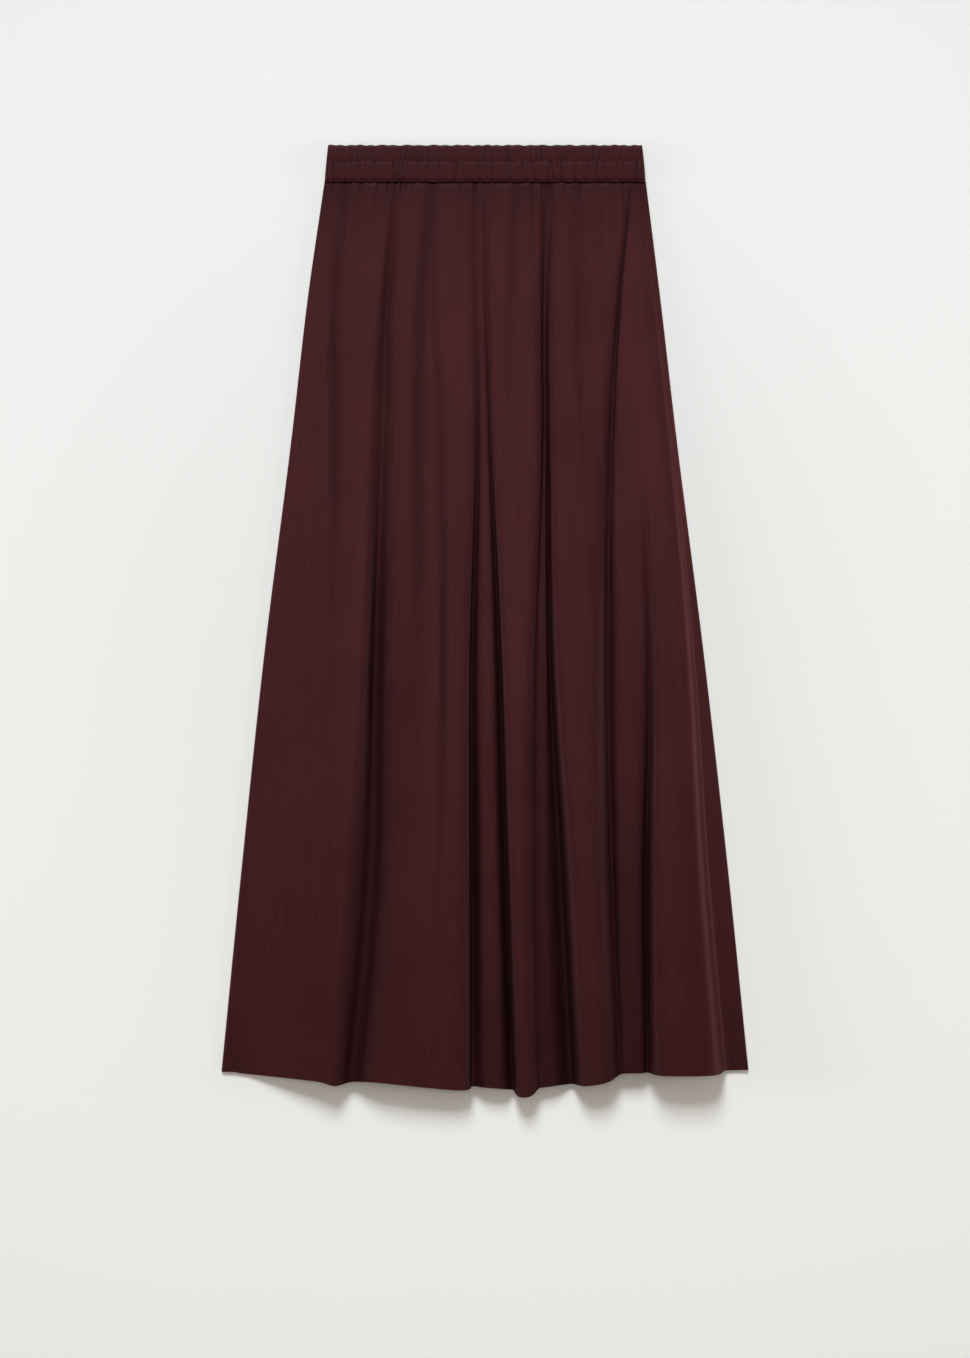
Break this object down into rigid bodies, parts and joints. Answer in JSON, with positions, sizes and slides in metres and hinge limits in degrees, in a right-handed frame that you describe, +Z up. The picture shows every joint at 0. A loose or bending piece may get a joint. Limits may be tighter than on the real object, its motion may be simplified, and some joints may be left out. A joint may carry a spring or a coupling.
{
  "type": "maxi skirt",
  "caption": "Long gathered skirt with an elastic two-channel waistband, laid out flat on its back, its front in deep lengthwise folds that widen to the hem.",
  "frame": {"origin": "on the surface the skirt lies on, under the middle of its box", "axes": "+Y along the skirt towards its waistband, +Z up from the surface, the front of the skirt on top, +X to the right of the picture"},
  "size_m": [0.5528, 0.9952, 0.0323],
  "materials": {
    "skirt_cloth": "satin-faced viscose, soft sheen",
    "waistband_cloth": "the same cloth, gathered over elastic"
  },
  "bodies": {
    "root": {"front_panel": "skirt_cloth", "back_panel": "skirt_cloth", "waistband_front": "waistband_cloth", "waistband_back": "waistband_cloth"}
  },
  "joints": []
}
